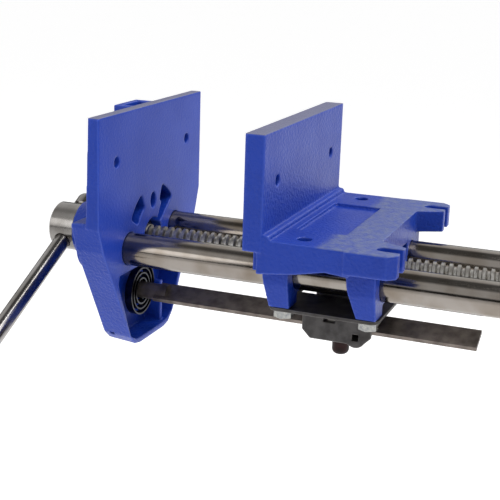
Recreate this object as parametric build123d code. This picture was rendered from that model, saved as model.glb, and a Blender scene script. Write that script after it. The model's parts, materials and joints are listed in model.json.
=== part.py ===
from build123d import *
import math
import os

# Quick-release woodworking vise, millimetres.
# Frame: origin midway between the two round bench holes on the bench face,
# +X along the jaws, +Y to the rear along the screw, +Z up. The bench sits on Z = 0.

# Jaws
JAW_WIDTH = 178.0
JAW_RISE = 72.0                 # top edge above the bench face
JAW_FOOT = -9.0                 # underside of both jaw plates
FIXED_JAW_THICKNESS = 14.5
MOVING_JAW_THICKNESS = 8.5      # at the top edge
MOVING_JAW_ROOT = 11.0          # at the underside, from the casting draft
JAW_SETBACK = 39.0              # fixed clamping face in front of the bench holes
OPENING = 110.0                 # as stored
CHEEK_HOLE_SPACING = 122.0
CHEEK_HOLE_DIAMETER = 8.0
CHEEK_HOLE_DROP = 35.5          # below the top edge
FIXED_FACE = -JAW_SETBACK
FIXED_BACK = FIXED_FACE + FIXED_JAW_THICKNESS
FACE = FIXED_FACE - OPENING     # moving clamping face

# Fits between moving pieces
RUNNING = 0.08                  # radial, shafts and slide bars
SEAT = 0.05                     # radial, pieces fixed together
GAP = 0.3                       # faces that pass each other

# Slide bars, screw and trip bar lines
AXIS_Z = -33.5                  # screw and slide bars, below the bench face
BAR_DIAMETER = 25.0
BAR_SPACING = 80.0
BAR_SOCKET = 33.0               # depth of the slide bars in the moving jaw
BAR_PIN = 6.0
BAR_PIN_SETBACK = 20.5
BAR_PIN_TOP = -4.0
BAR_PIN_REACH = BAR_DIAMETER / 2 + 3.0   # below the slide bar's axis
PIN_DRILLING_TOP = 20.0         # drilled down through the top of the casting
TRIP_DROP = 45.0                # trip bar axis below the screw
TRIP_Z = AXIS_Z - TRIP_DROP

# Bench body
BODY_HALF_WIDTH = 88.0
DECK_THICKNESS = 10.0
SKIRT_THICKNESS = 8.0
BODY_REAR = 68.5
HOLE_SPACING = 142.0
HOLE_DIAMETER = 10.5
SLOT_WIDTH = 10.0
SLOT_END = 51.0                 # closed end of the rear slots
LUG_DEPTH = 16.5
LUG_FRONT = 33.0
LUG_PROUD = 1.2
PANEL_HALF_WIDTH = 46.0
PANEL_RECESS = 2.5
PANEL_START = -14.0
PANEL_END = 22.0
LEG_DROP = BAR_DIAMETER / 2 + 10.0   # guide undersides below the screw axis
LEG_OUTER = BAR_SPACING / 2 + BAR_DIAMETER / 2 + 11.5
LEG_INNER = BAR_SPACING / 2 - BAR_DIAMETER / 2 - 1.5
FOOT_INNER = 42.0               # below the bore only this much of the guide goes down
BORE_WALL = 2.5
FRONT_GUIDE = (-34.5, -14.0)
REAR_GUIDE = (26.0, 49.5)
LEDGE_DEPTH = 5.0               # rounded ledge where the jaw meets the deck
LEDGE_RISE = 3.5
LEDGE_ROUND = 2.5

# Nut bracket, pressed from sheet
SHEET = 2.5
WING_HALF_WIDTH = 60.0
WING_ENDS = (-29.0, 52.0)
CHANNEL_HALF_WIDTH = 17.5
CHANNEL_ENDS = (-16.5, 37.0)
CHANNEL_CORNER = 6.5
WEB_DROP = 12.0                 # underside of the channel below the trip bar axis
BRACKET_BOLT_X = 50.0
BRACKET_BOLT_Y = (-20.0, 43.0)
BRACKET_BOLT_DIAMETER = 8.0
BRACKET_BOLT_REACH = LEG_DROP - BAR_DIAMETER / 2 - 0.5   # stops short of the slide bar
BRACKET_BOLT_FLATS = 13.0
BRACKET_BOLT_HEAD = 5.0
WASHER_RADIUS = 8.0
WASHER_THICKNESS = 1.2
EAR_RADIUS = 8.0
EAR_EYE = 5.0

# Screw
SCREW_DIAMETER = 19.0
PITCH = 6.0
THREAD_DEPTH = 2.6
CREST = 2.2
ROOT_RIDGE = 4.8
SHANK_DIAMETER = SCREW_DIAMETER + 1.0   # passes the thread through the moving jaw
TAIL_DIAMETER = 12.0
TAIL_PIN = 3.2
END_FLOAT = 0.2                 # between a turning shoulder and its seat
HEAD_DIAMETER = 38.0
HEAD_LENGTH = 23.0
HEAD_SOCKET = 3.0
BOSS_LENGTH = 61.0              # boss face in front of the moving clamping face
COLLAR_DIAMETER = SHANK_DIAMETER + 10.0
COLLAR_LENGTH = 6.0
COLLAR_RECESS = 14.0
COLLAR_PIN = 4.0
THREAD_START = 3.0              # first thread, in front of the clamping face
THREAD_END = 168.0

# Handle
HANDLE_DIAMETER = 13.0
HANDLE_HOLE = 14.0
HANDLE_LENGTH = 234.0
HANDLE_LEAN = 27.0              # degrees below level
KNOB_DIAMETER = 20.0
KNOB_LENGTH = 14.0
KNOB_SOCKET = 8.0

# End plate at the rear of the slide bars
END_PLATE_FACE = 173.0
END_PLATE_THICKNESS = 10.0
END_PLATE_RADIUS = BAR_DIAMETER / 2 + 5.5
END_BOLT_DIAMETER = 10.0
END_BOLT_REACH = 20.0
END_BOLT_FLATS = 17.0
END_BOLT_HEAD = 6.4
END_WASHER_RADIUS = 9.5
END_WASHER_THICKNESS = 2.0

# Trip gear
TRIP_WIDTH = 20.0
TRIP_THICKNESS = 3.2
TRIP_TILT = 22.0                # degrees, the +X edge low
TRIP_TAIL = 113.0
SPINDLE_DIAMETER = 13.0
SPINDLE_SLOT = 10.0
SPINDLE_END = 14.0              # behind the moving clamping face
LEVER_OFFSET = 38.5
LEVER_THICKNESS = 9.0
LEVER_REACH = 66.0
LEVER_HUB_RADIUS = 13.0
SPRING_WIDTH = 6.0
SPRING_STRIP = 1.2
SPRING_TURNS = 3.5

# Half nut
NUT_Y = 9.5
NUT_LENGTH = 30.0
NUT_HALF_WIDTH = CHANNEL_HALF_WIDTH - SHEET - 0.8
FORK_LENGTH = 14.0
STEM_DIAMETER = 13.0
STEM_TIP = TRIP_Z - 26.5
STEM_SPIGOT = 8.0               # diameter let into the fork
THREAD_PLAY = 0.25

# Moving jaw casting
SHELL_DEPTH = 24.0
SHELL_WALL = 5.0
SHELL_DRAFT = 5.0
SHELL_BOTTOM = TRIP_Z - 37.0
SHELL_LAP = 5.0                 # shell rises this far up the plate
HUMP_DEPTH = 30.0
BAR_BOSS_RADIUS = BAR_DIAMETER / 2 + 6.5
BAR_BOSS_DEPTH = 36.0
SPRING_RADIUS = TRIP_DROP - BAR_BOSS_RADIUS - 4.0   # winds below the bar bosses
BOSS_ROOT = TRIP_DROP - LEVER_HUB_RADIUS - 4.0       # screw boss, clear of the lever hub
BOSS_TIP = BOSS_ROOT - 6.0
HUB_RADIUS = 29.0
WINDOW_RADIUS = 43.0
WINDOW_DEPTH = 20.0
WINDOW_ROUND = 2.6
EYE_RISE = 30.0                 # small round window above the screw

# Bench dog in its housing on the moving jaw
HOUSING_HALF_WIDTH = 18.5
HOUSING_DEPTH = 25.5
DOG_WIDTH = 25.0
DOG_THICKNESS = 8.0
DOG_LENGTH = 58.0
DOG_CLEARANCE = 0.3
DOG_SCREW_DIAMETER = 8.0
DOG_SCREW_Z = 36.0
DOG_MIDDLE = FACE - MOVING_JAW_ROOT - DOG_THICKNESS / 2 - 1
HOUSING_TOP = JAW_RISE - 0.7
DOG_TOP = HOUSING_TOP - 5.0       # stored below the top of its housing

os.makedirs("parts", exist_ok=True)


def block(x0, x1, y0, y1, z0, z1):
    """A box between two corners."""
    size = Box(x1 - x0, y1 - y0, z1 - z0)
    return Pos((x0 + x1) / 2, (y0 + y1) / 2, (z0 + z1) / 2) * size


def round_y(x, z, radius, y0, y1, radius_end=None):
    """A cylinder or cone along Y."""
    length = y1 - y0
    turn = Pos(x, (y0 + y1) / 2, z) * Rot(-90, 0, 0)
    if radius_end is None:
        return turn * Cylinder(radius, length)
    return turn * Cone(radius, radius_end, length)


def round_z(x, y, radius, z0, z1):
    """A cylinder along Z."""
    return Pos(x, y, (z0 + z1) / 2) * Cylinder(radius, z1 - z0)


def outline_xz(points, y):
    """A closed face through (x, z) points at one Y, facing +Y."""
    plane = Plane(origin=(0, y, 0), x_dir=(1, 0, 0), z_dir=(0, -1, 0))
    return plane * make_face(Polyline(*points, close=True))


def prism_y(points, y0, y1):
    """An (x, z) outline extruded along Y."""
    return extrude(outline_xz(points, y1), amount=y1 - y0)


def prism_x(points, x0, x1):
    """A (y, z) outline extruded along X."""
    plane = Plane(origin=(x0, 0, 0), x_dir=(0, 1, 0), z_dir=(1, 0, 0))
    return extrude(plane * make_face(Polyline(*points, close=True)), amount=x1 - x0)


def prism_z(points, z0, z1):
    """An (x, y) outline extruded along Z."""
    return extrude(Pos(0, 0, z0) * make_face(Polyline(*points, close=True)), amount=z1 - z0)


def mirrored(points):
    """The +X half of an outline, then its mirror, as one loop."""
    return points + [(-x, z) for x, z in reversed(points)]


def hexagon_z(x, y, across_flats, z0, z1):
    """A hexagonal prism along Z."""
    face = RegularPolygon(across_flats / 2, 6, major_radius=False)
    return Pos(x, y, z0) * extrude(face, amount=z1 - z0)


def save(shape, name):
    """Write one node's STEP file."""
    export_step(shape, f"parts/{name}.step")


# ---------------------------------------------------------------- bench body
def lug(side):
    """One rear lug with its open slot."""
    hole_x = HOLE_SPACING / 2
    outer = BODY_HALF_WIDTH + LUG_PROUD
    corner = 6.0
    points = [
        (30.0, LUG_FRONT),
        (outer, LUG_FRONT),
        (outer, BODY_REAR - corner),
        (outer - corner, BODY_REAR),
        (hole_x - 11.0, BODY_REAR),
        (46.0, BODY_REAR - 27.0),
        (30.0, BODY_REAR - 27.0),
    ]
    shape = prism_z([(side * x, y) for x, y in points], -LUG_DEPTH, 0)
    slot = block(hole_x - SLOT_WIDTH / 2, hole_x + SLOT_WIDTH / 2,
                 SLOT_END + SLOT_WIDTH / 2, BODY_REAR + 1, -LUG_DEPTH - 1, 1)
    slot += round_z(hole_x, SLOT_END + SLOT_WIDTH / 2, SLOT_WIDTH / 2, -LUG_DEPTH - 1, 1)
    return shape - (slot if side > 0 else mirror(slot, about=Plane.YZ))


def guide(side, y0, y1, rake):
    """The cast block around one slide bar, its foot drilled for a bracket bolt."""
    foot = AXIS_Z - LEG_DROP
    points = [
        (y0, -DECK_THICKNESS / 2),
        (y1, -DECK_THICKNESS / 2),
        (y1 + 1.0, foot),
        (y0 + rake, foot),
        (y0 + rake / 3, AXIS_Z),
    ]
    left, right = sorted((side * LEG_INNER, side * LEG_OUTER))
    shape = prism_x(points, left, right)
    taper = prism_y([(side * LEG_OUTER + side, AXIS_Z), (side * (LEG_OUTER - 4.5), foot - 1),
                     (side * (LEG_OUTER + 2), foot - 1)], y0 - 1, y1 + 2)
    inner, waist = sorted((side * (LEG_INNER - 1), side * FOOT_INNER))
    relief = block(inner, waist, y0 - 1, y1 + 2, foot - 1, AXIS_Z - BAR_DIAMETER / 2 - BORE_WALL)
    return shape - taper - relief


def fixed_jaw_body():
    """The fixed jaw, deck, lugs and slide bar guides, one casting."""
    jaw_top = block(-JAW_WIDTH / 2, JAW_WIDTH / 2, FIXED_FACE, FIXED_BACK, JAW_FOOT, JAW_RISE)
    jaw_top = fillet(jaw_top.edges().filter_by(Axis.Z), 1.0)
    deck = block(-BODY_HALF_WIDTH, BODY_HALF_WIDTH, FIXED_BACK - 1, LUG_FRONT + 1,
                 -DECK_THICKNESS, 0)
    rear_deck = block(-52.0, 52.0, LUG_FRONT, REAR_GUIDE[1], -DECK_THICKNESS, 0)
    shape = jaw_top + deck + rear_deck
    for side in (1, -1):
        skirt = [(FIXED_BACK - 4, 0), (LUG_FRONT + 4, 0), (LUG_FRONT + 4, -18.5), (20.0, -17.0),
                 (8.0, -19.5), (-2.0, -21.5), (FIXED_BACK - 4, -24.5)]
        left, right = sorted((side * BODY_HALF_WIDTH, side * (BODY_HALF_WIDTH - SKIRT_THICKNESS)))
        shape += prism_x(skirt, left, right)
        shape += lug(side)
        shape += guide(side, FRONT_GUIDE[0], FRONT_GUIDE[1], 6.0)
        shape += guide(side, REAR_GUIDE[0], REAR_GUIDE[1], 10.0)
    # front wall under the jaw plate, and the ledge where the jaw meets the deck
    shape += block(-66.0, 66.0, FIXED_FACE, FIXED_BACK, AXIS_Z + 5.0, JAW_FOOT + 1)
    ledge = block(-BODY_HALF_WIDTH, BODY_HALF_WIDTH, FIXED_BACK - 1, FIXED_BACK + LEDGE_DEPTH,
                  -1, LEDGE_RISE)
    top_edges = ledge.edges().filter_by(Axis.X).group_by(Axis.Z)[-1]
    shape += fillet(top_edges.sort_by(Axis.Y)[-1], LEDGE_ROUND)
    # cross web that ties the rear guides together above the screw
    shape += block(-LEG_INNER - 1, LEG_INNER + 1, REAR_GUIDE[0] + 6, REAR_GUIDE[1], -19.0, -5.0)

    shape -= block(-PANEL_HALF_WIDTH, PANEL_HALF_WIDTH, PANEL_START, PANEL_END, -PANEL_RECESS, 1)
    shape -= round_y(0, AXIS_Z, SCREW_DIAMETER / 2 + 2, FIXED_FACE - 1, BODY_REAR)
    for side in (1, -1):
        shape -= round_y(side * BAR_SPACING / 2, AXIS_Z, BAR_DIAMETER / 2 + RUNNING,
                         FIXED_FACE - 1, BODY_REAR)
        shape -= round_y(side * CHEEK_HOLE_SPACING / 2, JAW_RISE - CHEEK_HOLE_DROP,
                         CHEEK_HOLE_DIAMETER / 2, FIXED_FACE - 1, FIXED_BACK + 1)
        shape -= round_z(side * HOLE_SPACING / 2, 0, HOLE_DIAMETER / 2, -DECK_THICKNESS - 20, 1)
        for y in BRACKET_BOLT_Y:
            shape -= round_z(side * BRACKET_BOLT_X, y, BRACKET_BOLT_DIAMETER / 2 + SEAT,
                             AXIS_Z - LEG_DROP - 1, AXIS_Z - LEG_DROP + BRACKET_BOLT_REACH + 1)
    return shape


# -------------------------------------------------------------- nut bracket
WING_TOP = AXIS_Z - LEG_DROP
WING_UNDER = WING_TOP - SHEET
WEB_UNDER = TRIP_Z - WEB_DROP


def nut_bracket():
    """Channel and wings, bent from one sheet."""
    front, rear = CHANNEL_ENDS
    side_view = [(front, WING_UNDER), (rear, WING_UNDER), (rear, WEB_UNDER + CHANNEL_CORNER),
                 (rear - CHANNEL_CORNER, WEB_UNDER), (front + CHANNEL_CORNER, WEB_UNDER),
                 (front, WEB_UNDER + CHANNEL_CORNER)]
    channel = prism_x(side_view, -CHANNEL_HALF_WIDTH, CHANNEL_HALF_WIDTH)
    wings = block(-WING_HALF_WIDTH, WING_HALF_WIDTH, WING_ENDS[0], WING_ENDS[1],
                  WING_UNDER, WING_TOP)
    wings = fillet(wings.edges().filter_by(Axis.Z), 6.0)
    shape = channel + wings
    inner = CHANNEL_HALF_WIDTH - SHEET
    shape -= block(-inner, inner, WING_ENDS[0] - 1, WING_ENDS[1] + 1, WEB_UNDER + SHEET,
                   WING_TOP + 1)
    # cross straps close the channel mouth in front of and behind the walls
    shape += block(-inner, inner, WING_ENDS[0], front - 4, WING_UNDER, WING_TOP)
    shape += block(-inner, inner, rear + 4, WING_ENDS[1], WING_UNDER, WING_TOP)
    window = FORK_LENGTH / 2 + GAP
    shape -= block(-inner, inner, NUT_Y - window, NUT_Y + window, WEB_UNDER - 1,
                   WEB_UNDER + SHEET + 1)
    shape -= block(-CHANNEL_HALF_WIDTH - 1, CHANNEL_HALF_WIDTH + 1, 0.0, 9.0,
                   WEB_UNDER + 14.5, WEB_UNDER + 20.5)
    # a round ear with a square eye on the near wall
    ear_y = rear - 12.0
    ear_z = WEB_UNDER + 5.5
    ear = Rot(0, 90, 0) * Cylinder(EAR_RADIUS, SHEET)
    shape += Pos(CHANNEL_HALF_WIDTH - SHEET / 2, ear_y, ear_z) * ear
    eye = EAR_EYE / 2
    shape -= block(CHANNEL_HALF_WIDTH - SHEET - 1, CHANNEL_HALF_WIDTH + 1, ear_y - eye,
                   ear_y + eye, ear_z - eye, ear_z + eye)
    for side in (1, -1):
        for y in BRACKET_BOLT_Y:
            shape -= round_z(side * BRACKET_BOLT_X, y, BRACKET_BOLT_DIAMETER / 2 + 0.4,
                             WING_UNDER - 1, WING_TOP + 1)
    return shape


def bracket_places():
    """(x, y) of the four bracket bolts."""
    return [(side * BRACKET_BOLT_X, y) for side in (1, -1) for y in BRACKET_BOLT_Y]


def bracket_bolts():
    """Four hexagon head bolts, heads down."""
    seat = WING_UNDER - WASHER_THICKNESS
    bolts = []
    for x, y in bracket_places():
        under = seat - BRACKET_BOLT_HEAD
        head = hexagon_z(x, y, BRACKET_BOLT_FLATS, under, seat)
        head = head & round_z(x, y, BRACKET_BOLT_FLATS * 0.555, under, seat)
        shank = round_z(x, y, BRACKET_BOLT_DIAMETER / 2, seat, WING_TOP + BRACKET_BOLT_REACH)
        bolts.append(head + shank)
    return Compound(children=bolts)


def bracket_washers():
    """Four flat washers under the bolt heads."""
    washers = []
    for x, y in bracket_places():
        ring = round_z(x, y, WASHER_RADIUS, WING_UNDER - WASHER_THICKNESS, WING_UNDER)
        ring -= round_z(x, y, BRACKET_BOLT_DIAMETER / 2 + 0.3, WING_UNDER - 3, WING_UNDER + 1)
        washers.append(ring)
    return Compound(children=washers)


# --------------------------------------------------------------- moving jaw
def shield():
    """The lower shell's outline, (x, z), lapped up onto the plate."""
    return mirrored([
        (JAW_WIDTH / 2, JAW_FOOT + SHELL_LAP),
        (JAW_WIDTH / 2, JAW_FOOT),
        (82.0, AXIS_Z + 5.5),
        (39.0, SHELL_BOTTOM + 10.0),
        (30.0, SHELL_BOTTOM + 2.0),
        (20.0, SHELL_BOTTOM),
    ])


def facing_front(shape):
    """Place a sketch, drawn about the screw axis, just behind the clamping face."""
    return Plane(origin=(0, FACE + 1, AXIS_Z), x_dir=(1, 0, 0), z_dir=(0, -1, 0)) * shape


def sector(start, end, inner, outer):
    """Ring sector round the screw between two angles, its corners rounded."""
    def at(radius, degrees):
        angle = math.radians(degrees)
        return radius * math.cos(angle), radius * math.sin(angle)

    middle = (start + end) / 2
    face = make_face([
        ThreePointArc(at(outer, start), at(outer, middle), at(outer, end)),
        Line(at(outer, end), at(inner, end)),
        ThreePointArc(at(inner, end), at(inner, middle), at(inner, start)),
        Line(at(inner, start), at(outer, start)),
    ])
    face = fillet(face.vertices(), WINDOW_ROUND)
    return extrude(facing_front(face), amount=WINDOW_DEPTH + 1)


def moving_jaw():
    """The moving jaw casting: plate, lower shell, bosses and dog housing."""
    plate = prism_x([(FACE, JAW_FOOT), (FACE, JAW_RISE), (FACE - MOVING_JAW_THICKNESS, JAW_RISE),
                     (FACE - MOVING_JAW_ROOT, JAW_FOOT)], -JAW_WIDTH / 2, JAW_WIDTH / 2)
    outline = outline_xz(shield(), FACE)
    outline = fillet(outline.vertices().filter_by(lambda v: v.Z < AXIS_Z - 40), 4.0)
    shell = extrude(outline, amount=SHELL_DEPTH, taper=SHELL_DRAFT)
    hump = outline_xz([(58.0, -50.0), (58.0, -6.0), (34.0, 12.0), (-34.0, 12.0), (-58.0, -6.0),
                       (-58.0, -50.0), (-40.0, -60.0), (40.0, -60.0)], FACE - 5)
    hump = extrude(hump, amount=HUMP_DEPTH - 5, taper=8.0)
    shape = plate + shell + hump
    # dog housing up the middle of the outer side
    shape += block(-HOUSING_HALF_WIDTH, HOUSING_HALF_WIDTH, FACE - HOUSING_DEPTH, FACE - 5,
                   0.0, HOUSING_TOP)
    for side in (1, -1):
        shape += round_y(side * BAR_SPACING / 2, AXIS_Z, BAR_BOSS_RADIUS, FACE - BAR_BOSS_DEPTH,
                         FACE - 10)
    shape += round_y(0, AXIS_Z, BOSS_TIP, FACE - BOSS_LENGTH, FACE - 20, radius_end=BOSS_ROOT)

    # lower pocket, the windows round the hub, and the collar recess
    floor = FACE - SHELL_DEPTH + SHELL_WALL
    pocket = mirrored([(56.0, AXIS_Z - BAR_BOSS_RADIUS + 1), (58.0, AXIS_Z - 24.0),
                       (37.0, SHELL_BOTTOM + 10.0), (28.0, SHELL_BOTTOM + 5.5),
                       (18.0, SHELL_BOTTOM + 4.5)])
    shape -= prism_y(pocket, floor, FACE + 1)
    shape -= sector(30.0, 62.0, HUB_RADIUS + 1, WINDOW_RADIUS)
    shape -= sector(112.0, 142.0, HUB_RADIUS + 1, WINDOW_RADIUS)
    # a neck joins the left window to the collar recess
    neck = sector(120.0, 142.0, COLLAR_DIAMETER / 2 - 2, HUB_RADIUS + 6)
    shape -= neck
    eye = facing_front(Pos(0, EYE_RISE) * Ellipse(4.6, 6.4))
    shape -= extrude(eye, amount=WINDOW_DEPTH + 1)
    shape -= round_y(0, AXIS_Z, COLLAR_DIAMETER / 2 + 1, FACE - COLLAR_RECESS, FACE + 1)
    shape -= round_y(0, AXIS_Z, SHANK_DIAMETER / 2 + RUNNING, FACE - BOSS_LENGTH - 1, FACE)
    shape -= round_y(0, TRIP_Z, SPINDLE_DIAMETER / 2 + RUNNING, FACE - BOSS_LENGTH, FACE)
    # rib that takes the outer end of the trip spring
    rib_side = -SPRING_RADIUS - SPRING_STRIP / 2 - GAP
    shape += block(rib_side - 4.0, rib_side, floor - 1, FACE - 4, SHELL_BOTTOM + 4.0, TRIP_Z + 2)
    for side in (1, -1):
        bar_x = side * BAR_SPACING / 2
        shape -= round_y(bar_x, AXIS_Z, BAR_DIAMETER / 2 + SEAT, FACE - BAR_SOCKET, FACE + 1)
        shape -= round_z(bar_x, FACE - BAR_PIN_SETBACK, BAR_PIN / 2 + SEAT,
                         AXIS_Z - BAR_PIN_REACH - 0.5, PIN_DRILLING_TOP)
        shape -= round_y(side * CHEEK_HOLE_SPACING / 2, JAW_RISE - CHEEK_HOLE_DROP,
                         CHEEK_HOLE_DIAMETER / 2, FACE - 20, FACE + 1)
    slot_half = DOG_WIDTH / 2 + DOG_CLEARANCE
    slot_deep = DOG_THICKNESS / 2 + DOG_CLEARANCE
    shape -= block(-slot_half, slot_half, DOG_MIDDLE - slot_deep, DOG_MIDDLE + slot_deep,
                   DOG_TOP - DOG_LENGTH - GAP, JAW_RISE + 1)
    shape -= round_y(0, DOG_SCREW_Z, DOG_SCREW_DIAMETER / 2 + RUNNING, FACE - HOUSING_DEPTH - 1,
                     DOG_MIDDLE)
    return shape


# --------------------------------------------------------------- slide bars
def slide_bar(side):
    """One ground slide bar, drilled for its pin and its end bolt."""
    bar_x = side * BAR_SPACING / 2
    shape = round_y(bar_x, AXIS_Z, BAR_DIAMETER / 2, FACE - BAR_SOCKET + 0.5, END_PLATE_FACE)
    shape = chamfer(shape.edges().filter_by(GeomType.CIRCLE), 1.0)
    shape -= round_z(bar_x, FACE - BAR_PIN_SETBACK, BAR_PIN / 2 + SEAT,
                     AXIS_Z - BAR_PIN_REACH - 0.5, AXIS_Z + BAR_DIAMETER)
    shape -= round_y(bar_x, AXIS_Z, END_BOLT_DIAMETER / 2 + SEAT,
                     END_PLATE_FACE - END_BOLT_REACH - 2, END_PLATE_FACE + 1)
    return shape


def slide_bar_pins():
    """Two pins that hold the slide bars in the moving jaw."""
    pins = []
    for side in (1, -1):
        pins.append(round_z(side * BAR_SPACING / 2, FACE - BAR_PIN_SETBACK, BAR_PIN / 2,
                            AXIS_Z - BAR_PIN_REACH, BAR_PIN_TOP))
    return Compound(children=pins)


END_PLATE_REAR = END_PLATE_FACE + END_PLATE_THICKNESS


def rear_end_plate():
    """The bar across the rear ends of the slide bars, with the screw's rear bearing."""
    reach = BAR_SPACING / 2
    shape = block(-reach, reach, END_PLATE_FACE, END_PLATE_REAR, AXIS_Z - END_PLATE_RADIUS,
                  AXIS_Z + END_PLATE_RADIUS)
    for side in (1, -1):
        shape += round_y(side * reach, AXIS_Z, END_PLATE_RADIUS, END_PLATE_FACE, END_PLATE_REAR)
    for side in (1, -1):
        shape -= round_y(side * reach, AXIS_Z, END_BOLT_DIAMETER / 2 + 0.3, END_PLATE_FACE - 1,
                         END_PLATE_REAR + 1)
    shape -= round_y(0, AXIS_Z, TAIL_DIAMETER / 2 + RUNNING, END_PLATE_FACE - 1,
                     END_PLATE_REAR + 1)
    return shape


def end_plate_bolts():
    """Two hexagon head bolts into the ends of the slide bars."""
    seat = END_PLATE_REAR + END_WASHER_THICKNESS
    bolts = []
    for side in (1, -1):
        head = hexagon_z(0, 0, END_BOLT_FLATS, 0, END_BOLT_HEAD)
        head = head & round_z(0, 0, END_BOLT_FLATS * 0.555, 0, END_BOLT_HEAD)
        head = Pos(side * BAR_SPACING / 2, seat, AXIS_Z) * Rot(-90, 0, 0) * head
        shank = round_y(side * BAR_SPACING / 2, AXIS_Z, END_BOLT_DIAMETER / 2,
                        END_PLATE_FACE - END_BOLT_REACH, seat)
        bolts.append(head + shank)
    return Compound(children=bolts)


def end_plate_washers():
    """Two washers under the end plate bolts."""
    rings = []
    for side in (1, -1):
        ring = round_y(side * BAR_SPACING / 2, AXIS_Z, END_WASHER_RADIUS, END_PLATE_REAR,
                       END_PLATE_REAR + END_WASHER_THICKNESS)
        ring -= round_y(side * BAR_SPACING / 2, AXIS_Z, END_BOLT_DIAMETER / 2 + 0.2,
                        END_PLATE_REAR - 1, END_PLATE_REAR + 3)
        rings.append(ring)
    return Compound(children=rings)


# -------------------------------------------------------------------- screw
BOSS_FACE = FACE - BOSS_LENGTH
HEAD_BACK = BOSS_FACE - END_FLOAT
HEAD_FRONT = HEAD_BACK - HEAD_LENGTH
HANDLE_Y = (HEAD_BACK + HEAD_FRONT) / 2
COLLAR_FRONT = FACE - COLLAR_RECESS + END_FLOAT
TAIL_PIN_Y = END_PLATE_REAR + 5.5


def thread_ridge(root, crest, root_width, crest_width, start, end):
    """One helical ridge about the screw line, right-handed, from start to end along Y."""
    # one edge for each turn, so that every swept face stays short
    turns = round((end - start) / PITCH)
    one = Helix(pitch=PITCH, height=PITCH, radius=root)
    helix = Wire([Pos(0, 0, PITCH * i) * one for i in range(turns)])
    plane = Plane(origin=(root, 0, 0), x_dir=(1, 0, 0), z_dir=(0, -1, 0))
    profile = plane * make_face(Polyline(
        (-0.4, -root_width / 2), (crest - root, -crest_width / 2),
        (crest - root, crest_width / 2), (-0.4, root_width / 2), close=True))
    ridge = sweep(profile, path=helix, is_frenet=True)
    # start angle follows the start position, so that every ridge lies on one helix
    phase = 360.0 * start / PITCH
    return Pos(0, start, AXIS_Z) * Rot(-90, 0, 0) * Rot(0, 0, phase) * ridge


CORE_RADIUS = SCREW_DIAMETER / 2 - THREAD_DEPTH


def main_screw():
    """Shank, threaded length and turned tail, one bar."""
    thread_from = FACE - THREAD_START
    shape = round_y(0, AXIS_Z, CORE_RADIUS, thread_from - 5, THREAD_END + 2)
    shape += thread_ridge(CORE_RADIUS, SCREW_DIAMETER / 2, ROOT_RIDGE, CREST, thread_from,
                          THREAD_END - 3)
    shape += round_y(0, AXIS_Z, SHANK_DIAMETER / 2, HEAD_BACK - HEAD_SOCKET, thread_from)
    shape += round_y(0, AXIS_Z, TAIL_DIAMETER / 2, THREAD_END, TAIL_PIN_Y + 5.5)
    shape -= round_z(0, COLLAR_FRONT + COLLAR_LENGTH / 2, COLLAR_PIN / 2 + SEAT, AXIS_Z - 20,
                     AXIS_Z + 20)
    shape -= round_z(0, TAIL_PIN_Y, TAIL_PIN / 2 + SEAT, AXIS_Z - 20, AXIS_Z + 20)
    return shape


def screw_head():
    """The round head that the handle slides through."""
    shape = round_y(0, AXIS_Z, HEAD_DIAMETER / 2, HEAD_FRONT, HEAD_BACK)
    shape = chamfer(shape.edges().filter_by(GeomType.CIRCLE), 1.5)
    shape -= Pos(0, HANDLE_Y, AXIS_Z) * Rot(0, 90 + HANDLE_LEAN, 0) * Cylinder(
        HANDLE_HOLE / 2, HEAD_DIAMETER + 2)
    shape -= round_y(0, AXIS_Z, SHANK_DIAMETER / 2 + SEAT, HEAD_BACK - HEAD_SOCKET, HEAD_BACK + 1)
    return shape


def screw_collar():
    """Thrust collar that draws the jaw back when the screw opens."""
    shape = round_y(0, AXIS_Z, COLLAR_DIAMETER / 2, COLLAR_FRONT, COLLAR_FRONT + COLLAR_LENGTH)
    shape -= round_y(0, AXIS_Z, SHANK_DIAMETER / 2 + SEAT, COLLAR_FRONT - 1,
                     COLLAR_FRONT + COLLAR_LENGTH + 1)
    shape -= round_z(0, COLLAR_FRONT + COLLAR_LENGTH / 2, COLLAR_PIN / 2 + SEAT, AXIS_Z - 20,
                     AXIS_Z + 20)
    return shape


def screw_collar_pin():
    """Cross pin through the collar and the shank."""
    reach = COLLAR_DIAMETER / 2 - 0.5
    return round_z(0, COLLAR_FRONT + COLLAR_LENGTH / 2, COLLAR_PIN / 2, AXIS_Z - reach,
                   AXIS_Z + reach)


def screw_tail_washer():
    """Washer behind the end plate."""
    shape = round_y(0, AXIS_Z, 11.0, END_PLATE_REAR + GAP, END_PLATE_REAR + GAP + 2.0)
    return shape - round_y(0, AXIS_Z, TAIL_DIAMETER / 2 + SEAT, END_PLATE_REAR,
                           END_PLATE_REAR + 4)


def screw_tail_pin():
    """Pin through the tail, behind its washer."""
    return round_z(0, TAIL_PIN_Y, TAIL_PIN / 2, AXIS_Z - 11, AXIS_Z + 11)


# ------------------------------------------------------------------- handle
def along_handle(shape, distance):
    """Place a shape made along Z on the handle line, at a distance from the head."""
    return (Pos(0, HANDLE_Y, AXIS_Z) * Rot(0, 90 + HANDLE_LEAN, 0) * Pos(0, 0, distance) * shape)


HANDLE_UPPER = -HEAD_DIAMETER / 2 - GAP
HANDLE_LOWER = HANDLE_UPPER + HANDLE_LENGTH


def handle_bar():
    """The plain bar, let into a knob at each end."""
    length = HANDLE_LENGTH + 2 * KNOB_SOCKET
    middle = (HANDLE_UPPER + HANDLE_LOWER) / 2
    return along_handle(Cylinder(HANDLE_DIAMETER / 2, length), middle)


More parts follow.
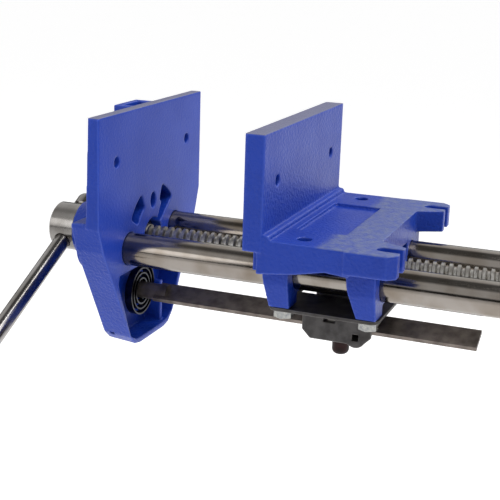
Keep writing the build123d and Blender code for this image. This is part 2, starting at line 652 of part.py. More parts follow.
def handle_knob(end):
    """A turned knob with a socket; end is -1 for the upper, +1 for the lower."""
    knob = Pos(0, 0, KNOB_LENGTH / 2) * Cylinder(KNOB_DIAMETER / 2, KNOB_LENGTH)
    knob = chamfer(knob.edges().group_by(Axis.Z)[0], 1.0)
    knob = fillet(knob.edges().group_by(Axis.Z)[-1], 4.0)
    knob -= Pos(0, 0, KNOB_SOCKET / 2 - 0.5) * Cylinder(HANDLE_DIAMETER / 2 + SEAT,
                                                       KNOB_SOCKET + 1.1)
    if end < 0:
        knob = Rot(180, 0, 0) * knob
    return along_handle(knob, HANDLE_UPPER if end < 0 else HANDLE_LOWER)


# ---------------------------------------------------------------- trip gear
def trip_bar():
    """The flat strip that turns to draw the half nut down."""
    start = FACE + SPINDLE_END - SPINDLE_SLOT + GAP
    strip = block(-TRIP_WIDTH / 2, TRIP_WIDTH / 2, start, TRIP_TAIL, -TRIP_THICKNESS / 2,
                  TRIP_THICKNESS / 2)
    return Pos(0, 0, TRIP_Z) * Rot(0, TRIP_TILT, 0) * strip


def trip_spindle():
    """Round spindle through the jaw, slotted at its rear end for the trip bar."""
    tip = FACE + SPINDLE_END
    shape = round_y(0, TRIP_Z, SPINDLE_DIAMETER / 2, FACE - LEVER_OFFSET - LEVER_THICKNESS - 2,
                    tip)
    half = TRIP_THICKNESS / 2 + SEAT
    slot = block(-SPINDLE_DIAMETER, SPINDLE_DIAMETER, tip - SPINDLE_SLOT, tip + 1, -half, half)
    shape -= Pos(0, 0, TRIP_Z) * Rot(0, TRIP_TILT, 0) * slot
    shape -= lever_pin_hole()
    return shape


LEVER_PIN_Y = FACE - LEVER_OFFSET - LEVER_THICKNESS / 2


def lever_pin_hole():
    """The drilling for the lever's pin."""
    return round_z(0, LEVER_PIN_Y, 2.0 + SEAT, TRIP_Z - 30, TRIP_Z + 30)


def trip_lever():
    """Hub on the spindle with an arm to the left and a curved finger grip."""
    front = FACE - LEVER_OFFSET - LEVER_THICKNESS
    hub = round_y(0, TRIP_Z, LEVER_HUB_RADIUS, front, FACE - SHELL_DEPTH - GAP)
    arm = prism_y([(0.0, TRIP_Z + 11.0), (-30.0, TRIP_Z + 3.0), (-LEVER_REACH, TRIP_Z - 4.0),
                   (-LEVER_REACH - 6.0, TRIP_Z - 11.0), (-LEVER_REACH, TRIP_Z - 18.0),
                   (-30.0, TRIP_Z - 12.0), (0.0, TRIP_Z - 11.0)], front, FACE - LEVER_OFFSET)
    grip = round_y(-LEVER_REACH, TRIP_Z - 11.0, 7.0, front - 6.0, FACE - LEVER_OFFSET)
    shape = hub + arm + grip
    shape -= round_y(0, TRIP_Z, SPINDLE_DIAMETER / 2 + SEAT, front - 1, FACE)
    shape -= lever_pin_hole()
    return shape


def trip_lever_pin():
    """Cross pin that fixes the lever to the spindle."""
    return round_z(0, LEVER_PIN_Y, 2.0, TRIP_Z - LEVER_HUB_RADIUS + 0.5,
                   TRIP_Z + LEVER_HUB_RADIUS - 0.5)


def trip_spindle_collar():
    """Collar that keeps the spindle from sliding out through the jaw."""
    floor = FACE - SHELL_DEPTH + SHELL_WALL
    shape = round_y(0, TRIP_Z, 10.0, floor + GAP, floor + 3.0)
    return shape - round_y(0, TRIP_Z, SPINDLE_DIAMETER / 2 + SEAT, floor, floor + 4)


def trip_spring():
    """Flat strip wound in a spiral round the spindle."""
    inner = SPINDLE_DIAMETER / 2 + SPRING_STRIP / 2 + GAP
    steps = 64
    edges = []
    for offset in (-SPRING_STRIP / 2, SPRING_STRIP / 2):
        points = []
        for i in range(steps + 1):
            share = i / steps
            angle = math.radians(90 + 360.0 * SPRING_TURNS * share)
            radius = inner + (SPRING_RADIUS - inner) * share + offset
            points.append((radius * math.cos(angle), radius * math.sin(angle)))
        edges.append(points)
    inside = Spline(*edges[0])
    outside = Spline(*edges[1])
    face = make_face([inside, outside, Line(inside @ 0, outside @ 0), Line(inside @ 1, outside @ 1)])
    strip = extrude(face, amount=SPRING_WIDTH)
    middle = FACE - SHELL_DEPTH + SHELL_WALL + 4.0
    return Pos(0, middle, TRIP_Z) * Rot(-90, 0, 0) * strip


# ----------------------------------------------------------------- half nut
FORK_UNDER = TRIP_Z - 9.6
NUT_UNDER = TRIP_Z + 12.8


def half_nut():
    """Threaded block that rises into the screw, with a fork round the trip bar."""
    body = block(-NUT_HALF_WIDTH, NUT_HALF_WIDTH, NUT_Y - NUT_LENGTH / 2, NUT_Y + NUT_LENGTH / 2,
                 NUT_UNDER, AXIS_Z - 3.0)
    fork = block(-NUT_HALF_WIDTH, NUT_HALF_WIDTH, NUT_Y - FORK_LENGTH / 2,
                 NUT_Y + FORK_LENGTH / 2, FORK_UNDER, NUT_UNDER + 1)
    shape = body + fork
    reach = TRIP_WIDTH / 2 + 0.6
    shape -= block(-reach, 8.0, NUT_Y - 20, NUT_Y + 20, TRIP_Z - 5.6, NUT_UNDER)
    shape -= block(7.9, reach, NUT_Y - 20, NUT_Y + 20, TRIP_Z - 5.6, TRIP_Z - 1.2)
    shape -= round_y(0, AXIS_Z, CORE_RADIUS + 0.35, NUT_Y - 20, NUT_Y + 20)
    start = PITCH * round((NUT_Y - 24.0) / PITCH)
    shape -= thread_ridge(CORE_RADIUS, SCREW_DIAMETER / 2 + THREAD_PLAY,
                          ROOT_RIDGE + 2 * THREAD_PLAY, CREST + 2 * THREAD_PLAY, start,
                          start + 8 * PITCH)
    shape -= round_z(0, NUT_Y, STEM_SPIGOT / 2 + SEAT, FORK_UNDER - 1, FORK_UNDER + 3.6)
    return shape


def nut_stem():
    """Round tail under the half nut, domed at its tip."""
    stem = round_z(0, NUT_Y, STEM_DIAMETER / 2, STEM_TIP, FORK_UNDER)
    stem = fillet(stem.edges().group_by(Axis.Z)[0], 4.0)
    return stem + round_z(0, NUT_Y, STEM_SPIGOT / 2, FORK_UNDER, FORK_UNDER + 3.5)


# ---------------------------------------------------------------- bench dog
def bench_dog():
    """Flat bar that lifts above the jaw to hold long work."""
    dog = block(-DOG_WIDTH / 2, DOG_WIDTH / 2, DOG_MIDDLE - DOG_THICKNESS / 2,
                DOG_MIDDLE + DOG_THICKNESS / 2, DOG_TOP - DOG_LENGTH, DOG_TOP)
    return chamfer(dog.edges().group_by(Axis.Z)[-1], 1.0)


def dog_screw():
    """Thumbscrew that pinches the dog, with a scalloped head."""
    outer = FACE - HOUSING_DEPTH
    shape = round_y(0, DOG_SCREW_Z, DOG_SCREW_DIAMETER / 2, outer - 3.0,
                    DOG_MIDDLE - DOG_THICKNESS / 2 - GAP)
    shape += round_y(0, DOG_SCREW_Z, 10.0, outer - 9.0, outer - 2.0)
    for i in range(8):
        angle = math.radians(45.0 * i)
        shape -= round_y(11.0 * math.cos(angle), DOG_SCREW_Z + 11.0 * math.sin(angle), 2.6,
                         outer - 10, outer - 1)
    return shape


save(fixed_jaw_body(), "fixed_jaw_body")
save(nut_bracket(), "nut_bracket")
save(bracket_bolts(), "bracket_bolts")
save(bracket_washers(), "bracket_washers")
save(moving_jaw(), "moving_jaw")
save(slide_bar(1), "slide_bar_right")
save(slide_bar(-1), "slide_bar_left")
save(slide_bar_pins(), "slide_bar_pins")
save(rear_end_plate(), "rear_end_plate")
save(end_plate_bolts(), "end_plate_bolts")
save(end_plate_washers(), "end_plate_washers")
save(main_screw(), "main_screw")
save(screw_head(), "screw_head")
save(screw_collar(), "screw_collar")
save(screw_collar_pin(), "screw_collar_pin")
save(screw_tail_washer(), "screw_tail_washer")
save(screw_tail_pin(), "screw_tail_pin")
save(handle_bar(), "handle_bar")
save(handle_knob(-1), "handle_knob_upper")
save(handle_knob(1), "handle_knob_lower")
save(trip_bar(), "trip_bar")
save(trip_spindle(), "trip_spindle")
save(trip_lever(), "trip_lever")
save(trip_lever_pin(), "trip_lever_pin")
save(trip_spindle_collar(), "trip_spindle_collar")
save(trip_spring(), "trip_spring")
save(half_nut(), "half_nut")
save(nut_stem(), "nut_stem")
save(bench_dog(), "bench_dog")
save(dog_screw(), "dog_screw")
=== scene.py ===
"""Looks of a quick-release woodworking vise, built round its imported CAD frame, in metres."""

import json
import logging
import math
from dataclasses import dataclass, field
from enum import Enum
from typing import Any

import bpy
from mathutils import Matrix, Vector

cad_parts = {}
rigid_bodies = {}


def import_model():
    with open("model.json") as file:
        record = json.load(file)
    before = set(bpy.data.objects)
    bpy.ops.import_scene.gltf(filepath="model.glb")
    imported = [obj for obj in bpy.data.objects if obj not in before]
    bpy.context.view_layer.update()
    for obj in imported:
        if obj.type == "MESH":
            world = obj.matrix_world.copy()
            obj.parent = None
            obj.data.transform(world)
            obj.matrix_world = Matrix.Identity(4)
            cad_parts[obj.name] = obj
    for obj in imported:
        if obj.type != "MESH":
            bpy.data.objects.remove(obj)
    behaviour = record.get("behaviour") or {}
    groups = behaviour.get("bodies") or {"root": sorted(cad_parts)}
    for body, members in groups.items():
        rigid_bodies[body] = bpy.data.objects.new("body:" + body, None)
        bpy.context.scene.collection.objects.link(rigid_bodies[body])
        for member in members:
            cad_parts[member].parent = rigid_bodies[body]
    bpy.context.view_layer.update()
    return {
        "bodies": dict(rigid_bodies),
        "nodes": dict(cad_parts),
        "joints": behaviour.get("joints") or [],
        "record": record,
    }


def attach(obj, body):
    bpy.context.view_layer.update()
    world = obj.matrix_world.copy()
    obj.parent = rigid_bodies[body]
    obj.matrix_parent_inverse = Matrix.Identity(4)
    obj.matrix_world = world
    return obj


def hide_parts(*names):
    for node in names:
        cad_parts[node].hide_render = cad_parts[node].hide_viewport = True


LOG = logging.getLogger("vise")
MM = 0.001
MIX_FACTOR, MIX_BELOW, MIX_ABOVE = 0, 6, 7      # sockets of a colour mix
SQUEEZE = 12.0      # noise is squeezed this much across marks that run along a bar


class Slot(Enum):
    """The record's material slots; nothing in this script gives them to a piece."""

    BLUE_ENAMEL = "blue_enamel"
    DARK_STEEL = "dark_steel"


class Grain(Enum):
    """Which way the marks of making run, as how far noise is squeezed along X, Y and Z."""

    ROUND_THE_BAR = (1.0, 2 * SQUEEZE, 1.0)
    ALONG_THE_BAR = (SQUEEZE, 0.6, SQUEEZE)
    NONE = (1.0, 1.0, 1.0)


def linear(hex_colour: str) -> tuple[float, float, float, float]:
    """Turn an sRGB hex colour into linear light.

    Args:
        hex_colour: Colour as "#RRGGBB".

    Returns:
        Linear red, green and blue, and an alpha of one.
    """
    channels = [int(hex_colour[i:i + 2], 16) / 255 for i in (1, 3, 5)]
    light = [c / 12.92 if c <= 0.04045 else ((c + 0.055) / 1.055) ** 2.4 for c in channels]
    return light[0], light[1], light[2], 1.0


def per_metre(size_mm: float) -> float:
    """Return the texture scale that gives features of a size in millimetres."""
    return 1.0 / (size_mm * MM)


def add_node(
    tree: bpy.types.NodeTree,
    kind: str,
    inputs: dict[str | int, Any] | None = None,
    **settings: Any,
) -> bpy.types.Node:
    """Add a shader node with its settings, values and links.

    Args:
        tree: Node tree that takes the node.
        kind: Blender's identifier for the node.
        inputs: Each socket's value, or the output socket that feeds it.
        **settings: The node's own properties.

    Returns:
        The new node.
    """
    node = tree.nodes.new(kind)
    for key, value in settings.items():
        setattr(node, key, value)
    for socket, value in (inputs or {}).items():
        if isinstance(value, bpy.types.NodeSocket):
            tree.links.new(value, node.inputs[socket])
        else:
            node.inputs[socket].default_value = value
    return node


def new_material(name: str) -> tuple[bpy.types.Material, bpy.types.NodeTree]:
    """Make an empty node material.

    Args:
        name: The finish's name.

    Returns:
        The material and its node tree.
    """
    material = bpy.data.materials.new(name)
    material.use_nodes = True
    material.node_tree.nodes.clear()
    return material, material.node_tree


def surface_output(tree: bpy.types.NodeTree, shader: bpy.types.Node) -> None:
    """Link a shader to the material's output."""
    add_node(tree, "ShaderNodeOutputMaterial", {"Surface": shader.outputs[0]})


# ------------------------------------------------------------------ finishes
@dataclass(frozen=True)
class EnamelledCastIron:
    """Sand-cast iron under one coat of gloss enamel.

    The sand leaves a pebbled skin that the enamel softens and does not hide. It breaks the
    gloss into small highlights. The clamping face is ground before it is painted, so it is
    smoother. Edges are painted paler: partly paint that runs thin over an edge, partly a
    painted highlight of the light that a rounded edge catches. Sharp edges and the tops of
    the jaws rub through to grey, and the deck is scuffed.
    """

    name: str
    ground_side: float
    colour: str = "#163CA6"
    shade: str = "#10308E"
    scuffed: str = "#606B92"
    bare: str = "#6E6E80"
    # painted highlight: the paler blue drawn along edges, for paint run thin and for the light
    # a rounded edge catches
    thin_paint_and_highlight: str = "#4C63C0"
    grain_mm: float = 1.1
    pebble_mm: float = 2.4
    blotch_mm: float = 40.0
    scuff_mm: float = 6.0
    scuff_from_mm: float = 15.0
    rubbed_above_mm: float = 71.5
    roughness: tuple[float, float] = (0.28, 0.46)
    pebble_strength: tuple[float, float] = (0.85, 0.25)
    pebble_height_mm: float = 0.8
    grain_strength: float = 0.45
    grain_height_mm: float = 0.3
    # how far edges are painted paler, as thin paint and as a painted highlight
    painted_edge_highlight: float = 0.7
    rubbed_top: float = 0.85

    def material(self) -> bpy.types.Material:
        """Build the enamel.

        Returns:
            The material.
        """
        material, tree = new_material(self.name)
        where = add_node(tree, "ShaderNodeTexCoord")
        place = where.outputs["Object"]
        facing = add_node(tree, "ShaderNodeVectorMath", {
            0: where.outputs["Normal"], 1: (0.0, self.ground_side, 0.0)},
            operation="DOT_PRODUCT")
        rough_cast = add_node(tree, "ShaderNodeMapRange", {
            "Value": facing.outputs["Value"], "From Min": 0.8, "From Max": 0.97,
            "To Min": self.pebble_strength[0], "To Max": self.pebble_strength[1]})
        blotch = add_node(tree, "ShaderNodeTexNoise", {
            "Vector": place, "Scale": per_metre(self.blotch_mm), "Detail": 3.0})
        paint = add_node(tree, "ShaderNodeMix", {
            MIX_FACTOR: blotch.outputs[0], MIX_BELOW: linear(self.colour),
            MIX_ABOVE: linear(self.shade)},
            data_type="RGBA")
        colour = self.rubbed(tree, place, paint.outputs[2])
        grain = add_node(tree, "ShaderNodeTexNoise", {
            "Vector": place, "Scale": per_metre(self.grain_mm), "Detail": 4.0,
            "Roughness": 0.6})
        pebble = add_node(tree, "ShaderNodeTexNoise", {
            "Vector": place, "Scale": per_metre(self.pebble_mm), "Detail": 2.0})
        low = add_node(tree, "ShaderNodeBump", {
            "Height": pebble.outputs[0], "Strength": rough_cast.outputs[0],
            "Distance": self.pebble_height_mm * MM})
        skin = add_node(tree, "ShaderNodeBump", {
            "Height": grain.outputs[0], "Strength": self.grain_strength,
            "Distance": self.grain_height_mm * MM, "Normal": low.outputs[0]})
        gloss = add_node(tree, "ShaderNodeMapRange", {
            "Value": blotch.outputs[0], "To Min": self.roughness[0],
            "To Max": self.roughness[1]})
        shader = add_node(tree, "ShaderNodeBsdfPrincipled", {
            "Base Color": colour, "Roughness": gloss.outputs[0], "Normal": skin.outputs[0],
            "IOR": 1.5, "Specular IOR Level": 0.25, "Coat Weight": 0.05,
            "Coat Roughness": 0.2})
        surface_output(tree, shader)
        return material

    def rubbed(
        self,
        tree: bpy.types.NodeTree,
        place: bpy.types.NodeSocket,
        paint: bpy.types.NodeSocket,
    ) -> bpy.types.NodeSocket:
        """Lay worn edges and the scuffed deck over the paint.

        Args:
            tree: The material's node tree.
            place: Position on the piece.
            paint: Colour of the sound enamel.

        Returns:
            The finished colour.
        """
        geometry = add_node(tree, "ShaderNodeNewGeometry")
        patches = add_node(tree, "ShaderNodeTexNoise", {
            "Vector": place, "Scale": per_metre(self.scuff_mm), "Detail": 5.0,
            "Roughness": 0.65})
        sharp = add_node(tree, "ShaderNodeMapRange", {
            "Value": geometry.outputs["Pointiness"], "From Min": 0.54, "From Max": 0.62})
        chance = add_node(tree, "ShaderNodeMapRange", {
            "Value": patches.outputs[0], "From Min": 0.46, "From Max": 0.62})
        worn = add_node(tree, "ShaderNodeMath", {
            0: sharp.outputs[0], 1: chance.outputs[0]}, operation="MULTIPLY")
        where = add_node(tree, "ShaderNodeSeparateXYZ", {0: place})
        rear = add_node(tree, "ShaderNodeMapRange", {
            "Value": where.outputs["Y"], "From Min": (self.scuff_from_mm - 3.0) * MM,
            "From Max": (self.scuff_from_mm + 3.0) * MM})
        level = add_node(tree, "ShaderNodeMapRange", {
            "Value": where.outputs["Z"], "From Min": -0.9 * MM, "From Max": -0.4 * MM})
        deck = add_node(tree, "ShaderNodeMath", {
            0: rear.outputs[0], 1: level.outputs[0]}, operation="MULTIPLY")
        uneven = add_node(tree, "ShaderNodeMapRange", {
            "Value": patches.outputs[0], "From Min": 0.38, "From Max": 0.62, "To Min": 0.35,
            "To Max": 1.0})
        scuff = add_node(tree, "ShaderNodeMath", {
            0: deck.outputs[0], 1: uneven.outputs[0]}, operation="MULTIPLY")
        # painted highlight: edges are drawn paler by pointiness, partly thin paint and partly
        # the light that a rounded edge catches
        edge_wear_and_highlight = add_node(tree, "ShaderNodeMapRange", {
            "Value": geometry.outputs["Pointiness"], "From Min": 0.51, "From Max": 0.57,
            "To Max": self.painted_edge_highlight})
        painted_edge_highlight = add_node(tree, "ShaderNodeMix", {
            MIX_FACTOR: edge_wear_and_highlight.outputs[0], MIX_BELOW: paint,
            MIX_ABOVE: linear(self.thin_paint_and_highlight)}, data_type="RGBA")
        summit = add_node(tree, "ShaderNodeMapRange", {
            "Value": where.outputs["Z"], "From Min": self.rubbed_above_mm * MM,
            "From Max": (self.rubbed_above_mm + 0.4) * MM, "To Max": self.rubbed_top})
        topped = add_node(tree, "ShaderNodeMix", {
            MIX_FACTOR: summit.outputs[0], MIX_BELOW: painted_edge_highlight.outputs[2],
            MIX_ABOVE: linear(self.bare)},
            data_type="RGBA")
        dulled = add_node(tree, "ShaderNodeMix", {
            MIX_FACTOR: scuff.outputs[0], MIX_BELOW: topped.outputs[2],
            MIX_ABOVE: linear(self.scuffed)},
            data_type="RGBA")
        edged = add_node(tree, "ShaderNodeMix", {
            MIX_FACTOR: worn.outputs[0], MIX_BELOW: dulled.outputs[2],
            MIX_ABOVE: linear(self.bare)},
            data_type="RGBA")
        return edged.outputs[2]


@dataclass(frozen=True)
class MarkedSteel:
    """Bare or thinly coated steel, with the marks of how it was made.

    The marks are fine parallel lines. They stretch a highlight across themselves, and an oily
    film tints the metal in soft patches. Lines are drawn a few times coarser than the real
    ones, which are too fine to show. With an edge colour, sharp edges are drawn paler: partly
    the metal below showing through, partly a painted highlight of the light an edge catches.
    """

    name: str
    colour: str
    tint: str
    grain: Grain
    line_mm: float
    patch_mm: float = 18.0
    roughness: tuple[float, float] = (0.2, 0.3)
    line_depth_mm: float = 0.02
    line_strength: float = 0.1
    metallic: float = 1.0
    # optional paler colour for sharp edges: partly worn-through steel, partly a painted
    # highlight
    edge_wear_and_highlight: str = ""

    def material(self) -> bpy.types.Material:
        """Build the steel.

        Returns:
            The material.
        """
        material, tree = new_material(self.name)
        place = add_node(tree, "ShaderNodeTexCoord").outputs["Object"]
        stretched = add_node(tree, "ShaderNodeVectorMath", {
            0: place, 1: self.grain.value}, operation="MULTIPLY")
        lines = add_node(tree, "ShaderNodeTexNoise", {
            "Vector": stretched.outputs[0], "Scale": per_metre(self.line_mm * SQUEEZE),
            "Detail": 4.0, "Roughness": 0.7})
        patches = add_node(tree, "ShaderNodeTexNoise", {
            "Vector": place, "Scale": per_metre(self.patch_mm), "Detail": 4.0})
        stained = add_node(tree, "ShaderNodeMapRange", {
            "Value": patches.outputs[0], "From Min": 0.38, "From Max": 0.7})
        colour = add_node(tree, "ShaderNodeMix", {
            MIX_FACTOR: stained.outputs[0], MIX_BELOW: linear(self.colour),
            MIX_ABOVE: linear(self.tint)},
            data_type="RGBA")
        if self.edge_wear_and_highlight:
            # a thin coat rubs through to bright steel along a sharp edge; the paler edge is
            # also a painted highlight of the light the edge catches
            geometry = add_node(tree, "ShaderNodeNewGeometry")
            sharp = add_node(tree, "ShaderNodeMapRange", {
                "Value": geometry.outputs["Pointiness"], "From Min": 0.52, "From Max": 0.6})
            colour = add_node(tree, "ShaderNodeMix", {
                MIX_FACTOR: sharp.outputs[0], MIX_BELOW: colour.outputs[2],
                MIX_ABOVE: linear(self.edge_wear_and_highlight)},
                data_type="RGBA")
        polish = add_node(tree, "ShaderNodeMapRange", {
            "Value": lines.outputs[0], "From Min": 0.3, "From Max": 0.7,
            "To Min": self.roughness[0], "To Max": self.roughness[1]})
        marks = add_node(tree, "ShaderNodeBump", {
            "Height": lines.outputs[0], "Strength": self.line_strength,
            "Distance": self.line_depth_mm * MM})
        shader = add_node(tree, "ShaderNodeBsdfPrincipled", {
            "Base Color": colour.outputs[2], "Metallic": self.metallic,
            "Roughness": polish.outputs[0], "Normal": marks.outputs[0]})
        surface_output(tree, shader)
        return material


# Cold-drawn bar, polished by the guides: faint lines along it and a thin brown oil film.
GROUND_BAR = MarkedSteel("drawn_bar_steel", "#908A84", "#776D62", Grain.ALONG_THE_BAR, 0.5,
                         patch_mm=26.0, roughness=(0.1, 0.2))
# Thread cut on a lathe: lighter in the flanks, torn a little by the tool.
CUT_THREAD = MarkedSteel("cut_thread_steel", "#AAA8A4", "#86827C", Grain.ROUND_THE_BAR, 0.7,
                         patch_mm=6.0, roughness=(0.24, 0.42))
# Turned and polished mild steel: near-mirror, dark reflections.
TURNED = MarkedSteel("polished_turned_steel", "#8C8986", "#726E6A", Grain.ROUND_THE_BAR, 0.6,
                     roughness=(0.14, 0.28))
# Polished along its length with a belt.
HANDLE_STEEL = MarkedSteel("belt_polished_steel", "#9A9795", "#7D7974", Grain.ALONG_THE_BAR,
                           0.5, roughness=(0.14, 0.28))
# Bright zinc plate on bolts and pins: pale, slightly blue, a little cloudy.
ZINC = MarkedSteel("bright_zinc_plate", "#A9A9A5", "#85878B", Grain.NONE, 0.4, patch_mm=3.0,
                   roughness=(0.2, 0.34))
# Hot-rolled strip, oiled: dark brown mill scale, dull.
HOT_ROLLED = MarkedSteel("hot_rolled_strip", "#7C736D", "#57504B", Grain.ALONG_THE_BAR, 0.8,
                         patch_mm=9.0, roughness=(0.34, 0.52), metallic=0.85)
# Pressed sheet with a black phosphate coat: dark grey, even, dull; its edges are painted paler,
# partly as worn-through steel and partly as a painted highlight.
PHOSPHATED = MarkedSteel("phosphated_sheet", "#4E4C4C", "#393737", Grain.NONE, 0.8,
                         patch_mm=8.0, roughness=(0.4, 0.56), metallic=0.75, edge_wear_and_highlight="#9A9692")
# Hardened and blued spring strip: nearly black, with a cold sheen.
BLUED_SPRING = MarkedSteel("blued_spring_strip", "#3B3C42", "#242529", Grain.NONE, 0.4,
                           patch_mm=5.0, roughness=(0.26, 0.4))
# Forged steel left bare and oiled: a dark red-brown skin of light rust.
RUST_TINTED = MarkedSteel("rust_tinted_steel", "#281011", "#180A0A", Grain.NONE, 0.8,
                          patch_mm=5.0, roughness=(0.4, 0.6), metallic=0.6)
# The clamping faces look at each other: the fixed one to the front, the moving one to the rear.
FIXED_ENAMEL = EnamelledCastIron("enamelled_cast_iron_fixed", -1.0)
MOVING_ENAMEL = EnamelledCastIron("enamelled_cast_iron_moving", 1.0)


class Workshop:
    """Makes each finish once and puts it on pieces."""

    def __init__(self, frame: dict[str, Any]) -> None:
        """Keep the frame's nodes.
        """
        self.nodes: dict[str, bpy.types.Object] = frame["nodes"]
        self.made: dict[str, bpy.types.Material] = {}

    def finish(self, piece: bpy.types.Object, look: EnamelledCastIron | MarkedSteel) -> None:
        """Give a piece a finish and report it.

        Args:
            piece: The object to dress.
            look: The finish.
        """
        if look.name not in self.made:
            self.made[look.name] = look.material()
        piece.data.materials.clear()
        piece.data.materials.append(self.made[look.name])
        LOG.info("%s: %s", piece.name, look.name)

    def dress(self, names: list[str], look: MarkedSteel) -> None:
        """Finish carried-over CAD nodes.

        Args:
            names: The nodes.
            look: Their finish.
        """
        for name in names:
            self.finish(self.nodes[name], look)

    def soften(
        self, node: str, body: str, voxel_mm: float, passes: int
    ) -> bpy.types.Object:
        """Rebuild a CAD node as a fine mesh with the rounded edges of the real piece.

        Args:
            node: CAD node that the piece stands for.
            body: CAD body that it rides on.
            voxel_mm: Size of the mesh's cells.
            passes: Smoothing passes; more gives a larger edge radius.

        Returns:
            The new piece, which replaces the node.
        """
        piece = bpy.data.objects.new(node + "_skin", self.nodes[node].data.copy())
        bpy.context.scene.collection.objects.link(piece)
        weld = piece.modifiers.new("weld", "WELD")
        weld.merge_threshold = 0.001 * MM
        remesh = piece.modifiers.new("remesh", "REMESH")
        remesh.mode = "VOXEL"
        remesh.voxel_size = voxel_mm * MM
        remesh.use_smooth_shade = True
        smooth = piece.modifiers.new("smooth", "SMOOTH")
        smooth.factor = 0.5
        smooth.iterations = passes
        bpy.context.view_layer.update()
        shaped = piece.evaluated_get(bpy.context.evaluated_depsgraph_get())
        mesh = bpy.data.meshes.new_from_object(shaped)
        piece.modifiers.clear()
        piece.data = mesh
        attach(piece, body)
        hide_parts(node)
        return piece


# ------------------------------------------------------------ sub-assemblies
@dataclass
class BenchBody:
    """The fixed casting and the bracket bolted under it."""

    body: str = "bench_body"
    casting_voxel_mm: float = 0.75
    casting_passes: int = 5
    sheet_voxel_mm: float = 0.45
    sheet_passes: int = 3
    fasteners: list[str] = field(default_factory=lambda: ["bracket_bolts", "bracket_washers"])

    def build(self, shop: Workshop) -> None:
        """Build and dress the casting, the bracket and its fasteners.

        Args:
            shop: Where the finishes are made.
        """
        casting = shop.soften("fixed_jaw_body", self.body, self.casting_voxel_mm,
                              self.casting_passes)
        shop.finish(casting, FIXED_ENAMEL)
        bracket = shop.soften("nut_bracket", self.body, self.sheet_voxel_mm,
                              self.sheet_passes)
        shop.finish(bracket, PHOSPHATED)
        shop.dress(self.fasteners, ZINC)


@dataclass
class FrontJaw:
    """The moving casting, the slide bars and the rear end plate."""

    body: str = "front_jaw"
    casting_voxel_mm: float = 0.75
    casting_passes: int = 5
    plate_voxel_mm: float = 0.6
    plate_passes: int = 3
    bars: list[str] = field(default_factory=lambda: ["slide_bar_left", "slide_bar_right"])
    fasteners: list[str] = field(default_factory=lambda: [
        "slide_bar_pins", "end_plate_bolts", "end_plate_washers", "dog_screw"])

    def build(self, shop: Workshop) -> None:
        """Build and dress the moving casting and what is fixed to it.

        Args:
            shop: Where the finishes are made.
        """
        casting = shop.soften("moving_jaw", self.body, self.casting_voxel_mm,
                              self.casting_passes)
        shop.finish(casting, MOVING_ENAMEL)
        plate = shop.soften("rear_end_plate", self.body, self.plate_voxel_mm,
                            self.plate_passes)
        shop.finish(plate, PHOSPHATED)
        shop.dress(self.bars, GROUND_BAR)
        shop.dress(self.fasteners, ZINC)
        shop.dress(["trip_spring"], BLUED_SPRING)
        shop.dress(["bench_dog"], BLUED_SPRING)


@dataclass
class ScrewAndHandle:
    """The screw with its head and collar, and the sliding handle."""

    turned: list[str] = field(default_factory=lambda: [
        "screw_head", "screw_collar", "handle_knob_upper", "handle_knob_lower"])
    small: list[str] = field(default_factory=lambda: [
        "screw_collar_pin", "screw_tail_washer", "screw_tail_pin"])

    def build(self, shop: Workshop) -> None:
        """Dress the screw and the handle.

        Args:
            shop: Where the finishes are made.
        """
        shop.dress(["main_screw"], CUT_THREAD)
        shop.dress(self.turned, TURNED)
        shop.dress(["handle_bar"], HANDLE_STEEL)
        shop.dress(self.small, ZINC)


@dataclass
class TripGear:
    """The trip bar, spindle and lever, and the half nut that they draw down."""

    body: str = "trip"
    lever_voxel_mm: float = 0.6
    lever_passes: int = 5
    strip: list[str] = field(default_factory=lambda: ["trip_bar", "trip_spindle"])
    small: list[str] = field(default_factory=lambda: ["trip_lever_pin", "trip_spindle_collar"])

    def build(self, shop: Workshop) -> None:
        """Build the lever and dress the rest.

        Args:
            shop: Where the finishes are made.
        """
        lever = shop.soften("trip_lever", self.body, self.lever_voxel_mm, self.lever_passes)
        shop.finish(lever, MOVING_ENAMEL)
        shop.dress(self.strip, HOT_ROLLED)
        shop.dress(self.small, ZINC)
        shop.dress(["half_nut"], PHOSPHATED)
        shop.dress(["nut_stem"], RUST_TINTED)


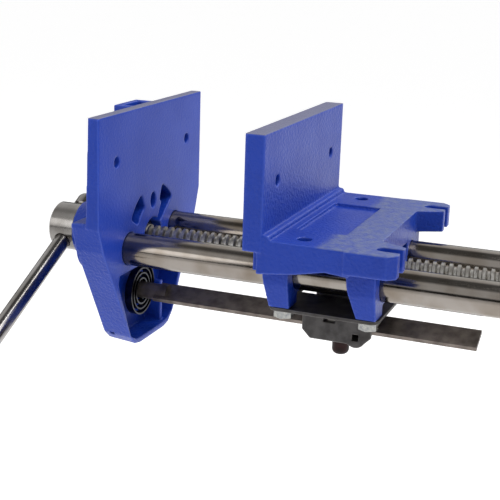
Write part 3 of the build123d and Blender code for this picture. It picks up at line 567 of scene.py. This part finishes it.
# -------------------------------------------------------------------- studio
@dataclass
class Studio:
    """Pale floor, soft light and the camera."""

    eye: tuple[float, float, float] = (0.7838, 0.2320, 0.1966)
    yaw: float = 0.364
    pitch: float = -0.268
    roll: float = 0.033
    lens: float = 81.64
    floor_drop: float = 0.45
    floor_size: float = 80.0
    floor_colour: str = "#FAFAFA"
    floor_glow: float = 0.42
    floor_roughness: float = 0.9
    sky: float = 1.2
    camera_side: float = 0.8
    backdrop: float = 1.1
    bands: tuple[tuple[float, float], ...] = (
        (0.0, 0.7), (0.5, 0.0), (0.61, 0.0), (0.65, 0.8), (0.91, 0.75), (0.96, 0.12),
        (1.0, 0.08))
    lamps: tuple[tuple[str, tuple[float, float, float], float, float], ...] = (
        ("key", (0.1, 0.5, 1.2), 0.8, 11.0),
        ("fill", (0.9, -0.7, 0.35), 0.6, 2.0),
        ("back", (-0.8, 0.6, 0.8), 0.6, 5.0))

    def camera(self) -> None:
        """Set up the camera from its heading, tilt and roll."""
        heading = Vector((-math.cos(self.yaw), -math.sin(self.yaw), 0.0))
        right = Vector((-math.sin(self.yaw), math.cos(self.yaw), 0.0))
        up = Vector((0.0, 0.0, 1.0))
        ahead = heading * math.cos(self.pitch) + up * math.sin(self.pitch)
        over = up * math.cos(self.pitch) - heading * math.sin(self.pitch)
        side = right * math.cos(self.roll) + over * math.sin(self.roll)
        over = over * math.cos(self.roll) - right * math.sin(self.roll)
        turn = Matrix((side, over, -ahead)).transposed().to_4x4()
        data = bpy.data.cameras.new("camera")
        data.lens = self.lens
        data.clip_end = self.floor_size
        camera = bpy.data.objects.new("camera", data)
        camera.matrix_world = Matrix.Translation(self.eye) @ turn
        bpy.context.scene.collection.objects.link(camera)
        bpy.context.scene.camera = camera

    def floor(self) -> None:
        """Lay the plain floor well below the vise, which hangs from a bench in use."""
        half = self.floor_size / 2
        mesh = bpy.data.meshes.new("floor")
        outline = [(x, y, -self.floor_drop) for x, y in
                   ((-half, -half), (half, -half), (half, half), (-half, half))]
        mesh.from_pydata(outline, [], [(0, 1, 2, 3)])
        floor = bpy.data.objects.new("floor", mesh)
        bpy.context.scene.collection.objects.link(floor)
        material, tree = new_material("matt_paper")
        shader = add_node(tree, "ShaderNodeBsdfPrincipled", {
            "Base Color": linear(self.floor_colour), "Roughness": self.floor_roughness,
            "Emission Color": linear(self.floor_colour), "Emission Strength": self.floor_glow})
        surface_output(tree, shader)
        mesh.materials.append(material)

    def sky_light(self) -> None:
        """Light the room.

        A dark line runs round the foot of the walls, with a bright stripe above it and a
        dark ceiling. Steel shows these as bands. The backdrop itself stays plain white.
        """
        world = bpy.data.worlds.new("room")
        world.use_nodes = True
        tree = world.node_tree
        tree.nodes.clear()
        ray = add_node(tree, "ShaderNodeTexCoord").outputs["Generated"]
        along = add_node(tree, "ShaderNodeSeparateXYZ", {0: ray})
        height = add_node(tree, "ShaderNodeMapRange", {
            "Value": along.outputs["Z"], "From Min": -1.0})
        bands = add_node(tree, "ShaderNodeValToRGB", {0: height.outputs[0]})
        ramp = bands.color_ramp
        while len(ramp.elements) < len(self.bands):
            ramp.elements.new(0.5)
        for element, (place, level) in zip(ramp.elements, self.bands):
            element.position = place
            element.color = (level, level, level, 1.0)
        side = add_node(tree, "ShaderNodeMapRange", {
            "Value": along.outputs["X"], "From Min": -0.4, "From Max": 0.8,
            "To Min": 1.0, "To Max": self.camera_side})
        strength = add_node(tree, "ShaderNodeMath", {
            0: side.outputs[0], 1: self.sky}, operation="MULTIPLY")
        room = add_node(tree, "ShaderNodeBackground", {
            "Color": bands.outputs[0], "Strength": strength.outputs[0]})
        backdrop = add_node(tree, "ShaderNodeBackground", {
            "Color": linear(self.floor_colour), "Strength": self.backdrop})
        seen = add_node(tree, "ShaderNodeLightPath").outputs["Is Camera Ray"]
        shader = add_node(tree, "ShaderNodeMixShader", {
            0: seen, 1: room.outputs[0], 2: backdrop.outputs[0]})
        add_node(tree, "ShaderNodeOutputWorld", {"Surface": shader.outputs[0]})
        bpy.context.scene.world = world

    def light(self) -> None:
        """Hang the soft lamps: a key overhead, a low fill and one behind."""
        for name, place, size, power in self.lamps:
            data = bpy.data.lights.new(name, "AREA")
            data.size = size
            data.energy = power
            lamp = bpy.data.objects.new(name, data)
            lamp.location = place
            lamp.rotation_euler = (-Vector(place)).to_track_quat("-Z", "Y").to_euler()
            bpy.context.scene.collection.objects.link(lamp)

    def build(self) -> None:
        """Set up the whole studio."""
        self.floor()
        self.sky_light()
        self.light()
        self.camera()
        bpy.context.scene.view_settings.view_transform = "Standard"


def main() -> None:
    """Build the sub-assemblies in order, then the studio."""
    logging.basicConfig(level=logging.INFO, format="%(message)s")
    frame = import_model()
    shop = Workshop(frame)
    for assembly in (BenchBody(), FrontJaw(), ScrewAndHandle(), TripGear()):
        assembly.build(shop)
    Studio().build()


if __name__ == "__main__":
    main()
